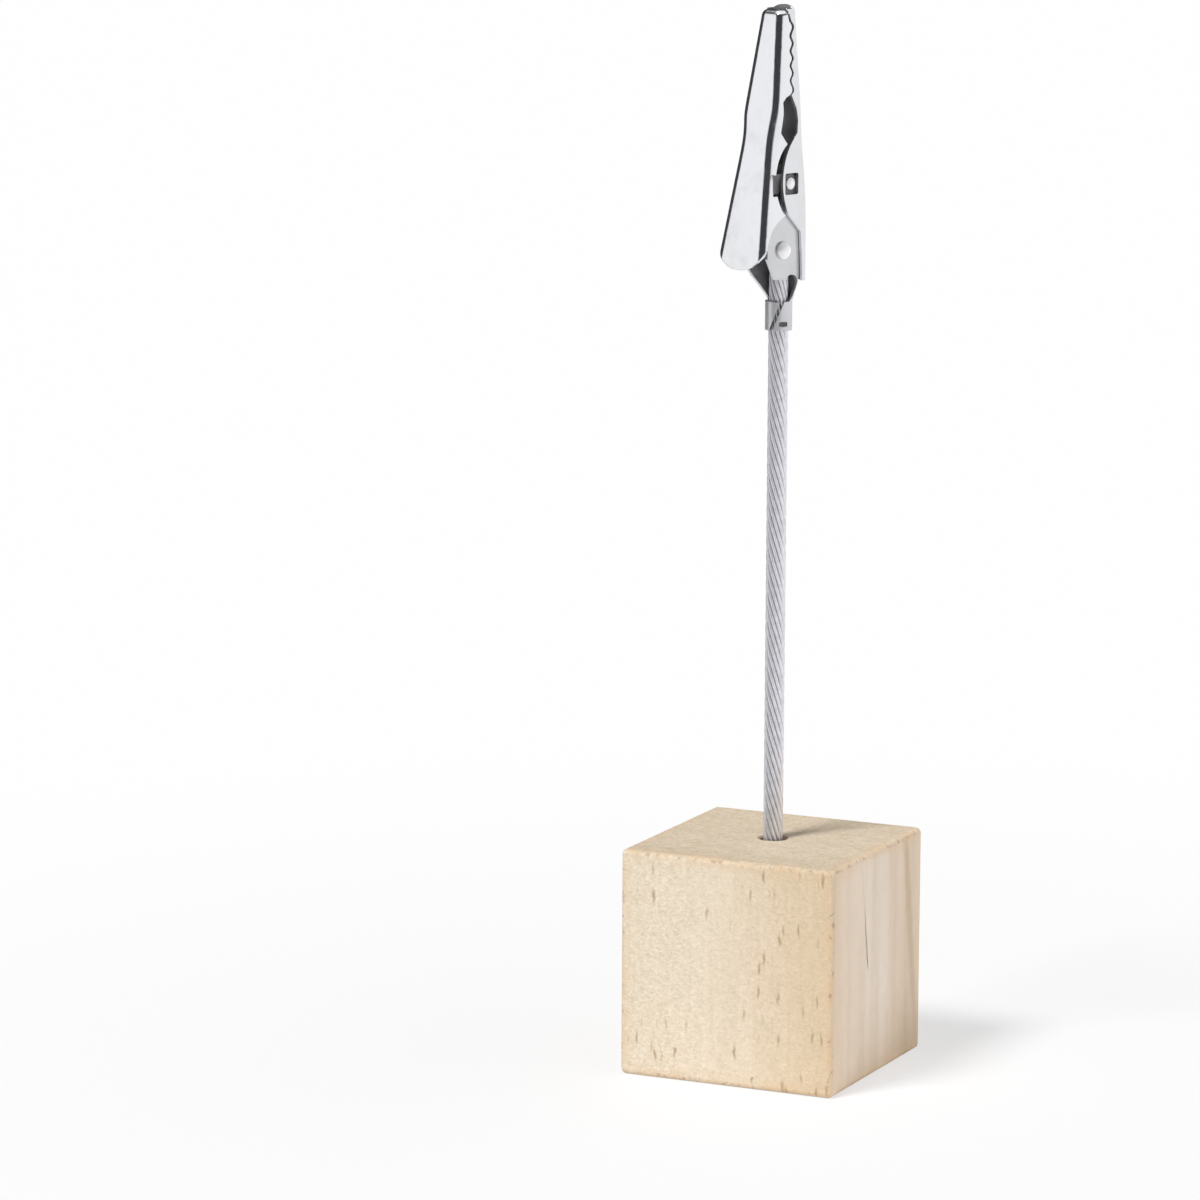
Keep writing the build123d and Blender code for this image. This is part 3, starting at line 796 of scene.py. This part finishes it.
def laid_wire(name, ring, low, high):
    """One wire of the rope, laid to the left round the rope's middle."""
    clear_selection()
    bpy.ops.mesh.primitive_circle_add(vertices=WIRE_SIDES, radius=WIRE_RADIUS * MM)
    wire = bpy.context.object
    wire.name = name
    slant = math.atan(2 * math.pi * ring / ROPE_LAY)
    bpy.ops.object.mode_set(mode="EDIT")
    bpy.ops.mesh.select_all(action="SELECT")
    bpy.ops.transform.resize(value=(1, 1 / math.cos(slant), 1))
    bpy.ops.transform.translate(value=(ring * MM, 0, low))
    bpy.ops.object.mode_set(mode="OBJECT")
    steps = round((high - low) / (WIRE_STEP * MM))
    helix(wire, -2 * math.pi * (high - low) / (ROPE_LAY * MM), high - low, steps)
    close_and_turn_out()
    return wire


def laid_ring(name, ring, count, low, high):
    """A ring of wires: one is made and copied round, each cut off at its own height."""
    first = laid_wire(name, ring, low, high)
    wires = [first]
    for number in range(1, count):
        pick(first)
        bpy.ops.object.duplicate()
        copy = bpy.context.object
        copy.rotation_euler = (0, 0, 2 * math.pi * number / count)
        settle()
        wires.append(copy)
    for wire in wires:
        pick(wire)
        pick_points(wire, lambda place: place.z > high - CUT_END * MM)
        bpy.ops.transform.translate(value=(0, 0, -CUT_UNEVEN * MM * random.random()))
        bpy.ops.object.mode_set(mode="OBJECT")
    return wires


def joined(name, things):
    clear_selection()
    for thing in things:
        thing.select_set(True)
    bpy.context.view_layer.objects.active = things[0]
    bpy.ops.object.join()
    whole = bpy.context.object
    whole.name = name
    settle()
    return whole


def rope_wires():
    low_corner, high_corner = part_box("wire_rope")
    low, high = low_corner[2], high_corner[2]
    wires = laid_ring("outer_wire", OUTER_RING, OUTER_WIRES, low, high)
    wires += laid_ring("inner_wire", INNER_RING, INNER_WIRES, low, high)
    wires += laid_ring("core_wire", 0.0, 1, low, high)
    return joined("rope_wires", wires)


def leaves_coil(leg, turn):
    """Angle round the pin at which a straight leg to this point leaves the coil."""
    depth, high = leg[0] - PIVOT_DEPTH, leg[1] - PIVOT_HIGH
    reach = math.hypot(depth, high)
    return math.atan2(high, depth) + turn * math.acos(SPRING_RADIUS / reach)


def add_leg(coil, angle, leg, along):
    """Draws one end of the coil's wire out, straight to the end of its leg."""
    across, up = SPRING_RADIUS * math.cos(angle), SPRING_RADIUS * math.sin(angle)
    start = Vector((across, up, along)) * MM
    reach = Vector((leg[0] - PIVOT_DEPTH, leg[1] - PIVOT_HIGH, along)) * MM - start
    pick_points(coil, lambda place: (place - start).length < SPRING_PICK * MM)
    bpy.ops.mesh.select_mode(type="EDGE")
    bpy.ops.mesh.extrude_region_move(TRANSFORM_OT_translate={"value": reach})
    bpy.ops.object.mode_set(mode="OBJECT")


def spring_coil():
    """The coil on the pin with its two legs, made about Z and then laid along the pin."""
    tail_angle = leaves_coil(TAIL_LEG, -1) + 2 * math.pi
    lever_angle = leaves_coil(LEVER_LEG, 1)
    turned = tail_angle - lever_angle + 2 * math.pi * SPRING_TURNS
    wide = SPRING_PITCH * turned / (2 * math.pi)
    clear_selection()
    bpy.ops.mesh.primitive_circle_add(
        vertices=SPRING_SIDES, radius=SPRING_WIRE / 2 * MM, rotation=(math.pi / 2, 0, 0))
    coil = bpy.context.object
    coil.name = "spring_coil"
    settle()
    bpy.ops.object.mode_set(mode="EDIT")
    bpy.ops.mesh.select_all(action="SELECT")
    bpy.ops.transform.translate(value=(SPRING_RADIUS * MM, 0, -wide / 2 * MM))
    bpy.ops.object.mode_set(mode="OBJECT")
    coil.rotation_euler = (0, 0, lever_angle)
    settle()
    helix(coil, turned, wide * MM, SPRING_STEPS)
    add_leg(coil, lever_angle, LEVER_LEG, -wide / 2)
    add_leg(coil, tail_angle, TAIL_LEG, wide / 2)
    close_and_turn_out()
    along_pin = Matrix(((0, 0, -1, 0), (-1, 0, 0, 0), (0, 1, 0, 0), (0, 0, 0, 1)))
    pivot = Matrix.Translation((0, -PIVOT_DEPTH * MM, PIVOT_HIGH * MM))
    coil.matrix_world = clip_place @ pivot @ along_pin
    settle()
    half = (wide - SPRING_WIRE) / 2 * MM
    ends = [clip_place @ pivot @ Vector((side * half, 0, 0)) for side in (-1, 1)]
    return coil, ends


def dress(thing, material):
    thing.data.materials.clear()
    thing.data.materials.append(material)


def studio_floor():
    """A sheet of pale paper that runs away from the camera."""
    clear_selection()
    bpy.ops.mesh.primitive_plane_add(size=2)
    floor = bpy.context.object
    floor.name = "studio_floor"
    middle, half = (PAPER_FAR - PAPER_NEAR) / 2, (PAPER_FAR + PAPER_NEAR) / 2
    floor.scale = (PAPER_HALF, half, 1)
    turn = math.radians(CAMERA_TURN)
    floor.rotation_euler = (0, 0, turn)
    floor.location = (-middle * math.sin(turn), middle * math.cos(turn), 0)
    settle()
    dress(floor, pale_paper())


def towards(x, y, turn):
    """Cosine of the angle between a direction in the room and the level way at this turn."""
    turn = math.radians(turn)
    return x * math.sin(turn) - y * math.cos(turn)


def studio_room():
    """White to the eye, with a soft light for the object and dark and white boards for metal to mirror."""
    world = bpy.data.worlds.new("studio_room")
    bpy.context.scene.world = world
    world.use_nodes = True
    shop = Shop(world.node_tree)
    x, y, z = shop.parts(shop.node("ShaderNodeTexCoord", {}, {}, "Generated"))

    # What metal mirrors: the boards, a dark cloth over the camera and a white ceiling
    round_room = x.maths("ARCTAN2", -y) * (1 / (2 * math.pi)) + 0.5
    stops = [(turn / 360 + 0.5, colour) for turn, colour in BOARDS]
    room = shop.node("ShaderNodeValToRGB", {"stops": stops}, {0: round_room}, "Color")
    cloth = z.between(*CLOTH_LOW) * towards(x, y, CAMERA_TURN).between(*CLOTH_EDGE)
    room = shop.colours(cloth, room, BOARD_DARK)
    room = shop.colours(z.between(*CEILING_LOW), room, WHITE)

    # What lights the object: the dim room and the lit board on its right
    side = towards(x, y, SIDE_BOARD_TURN).between(*SIDE_BOARD_EDGE) * z.between(*SIDE_BOARD_TOP)
    level = ROOM_LIGHT + side * SIDE_BOARD
    soft = shop.node("ShaderNodeCombineColor", {}, {0: level, 1: level, 2: level * ROOM_BLUE})

    eye, glossy, through = shop.node(
        "ShaderNodeLightPath", {}, {}, ("Is Camera Ray", "Is Glossy Ray", "Is Transmission Ray"))
    light = shop.colours(glossy.greatest(through), soft, room)
    light = shop.colours(eye, light, WHITE)
    sky = shop.node("ShaderNodeBackground", {}, {"Color": light, "Strength": 1.0})
    shop.node("ShaderNodeOutputWorld", {}, {"Surface": sky}, None)


def direction(turn, rise):
    """The way from the object to something at this turn and rise, in radians."""
    flat = math.cos(rise)
    return Vector((math.sin(turn) * flat, -math.cos(turn) * flat, math.sin(rise)))


def lamp(name, settings):
    turn, rise, level, wide = settings
    data = bpy.data.lights.new(name, "SUN")
    data.energy = level
    data.angle = math.radians(wide)
    made = bpy.data.objects.new(name, data)
    bpy.context.scene.collection.objects.link(made)
    way = direction(math.radians(turn), math.radians(rise))
    made.rotation_euler = way.to_track_quat("Z", "Y").to_euler()


def camera():
    turn, rise, roll = (math.radians(part) for part in (CAMERA_TURN, CAMERA_RISE, CAMERA_ROLL))
    level = Vector((math.cos(turn), math.sin(turn), 0))
    back = direction(turn, rise)
    plumb = back.cross(level)
    right = math.cos(roll) * level + math.sin(roll) * plumb
    up = -math.sin(roll) * level + math.cos(roll) * plumb
    foot = FOOT_FROM_CAMERA
    place = -(right * foot[0] + up * foot[1] + back * foot[2]) * MM
    data = bpy.data.cameras.new("camera")
    data.lens = CAMERA_LENS
    data.sensor_width = CAMERA_SENSOR
    data.clip_end = CAMERA_REACH_METRES
    eye = bpy.data.objects.new("camera", data)
    eye.matrix_world = Matrix.Translation(place) @ Matrix((right, up, back)).transposed().to_4x4()
    bpy.context.scene.collection.objects.link(eye)
    bpy.context.scene.camera = eye


bpy.context.scene.view_settings.view_transform = "Standard"
camera()
studio_room()
lamp("key_lamp", KEY_LAMP)
studio_floor()

dress(nodes["wood_block"], sanded_beech())
dress(nodes["glue_sleeve"], cured_glue())
# Rivet and pin: a painted bright reflection, near-white and mostly diffuse
rivet_plate = nickel_plate("rivet_nickel", RIVET_GLARE_WHITE, RIVET_ROUGH, diffuse_share=RIVET_DIFFUSE_GLARE)
upper_plate = nickel_plate("upper_jaw_nickel", UPPER_NICKEL, JAW_ROUGH, ears=True)
lower_plate = nickel_plate(
    "lower_jaw_nickel", LOWER_NICKEL, JAW_ROUGH, middle=LOWER_MIDDLE, heel=LOWER_HEEL)
# The bracket's plate is darkened as painted shade
bracket_plate = nickel_plate("bracket_nickel", BRACKET_NICKEL_SHADED, BRACKET_ROUGH, recess=RECESS_HIGH)
dress(nodes["upper_jaw"], upper_plate)
dress(nodes["lower_jaw"], lower_plate)
dress(nodes["tail_bracket"], bracket_plate)
for name in ("tail_rivet", "pivot_pin"):
    dress(nodes[name], rivet_plate)

rope = rope_wires()
dress(rope, drawn_wire("zinc_wire", ROPE_ZINC, ROPE_ROUGH, GROOVE))
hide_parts("wire_rope")
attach(rope, "stand")

spring, spring_ends = spring_coil()
dress(spring, drawn_wire("spring_wire", SPRING_STEEL, SPRING_ROUGH, None))
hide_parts("torsion_spring")
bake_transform(spring)
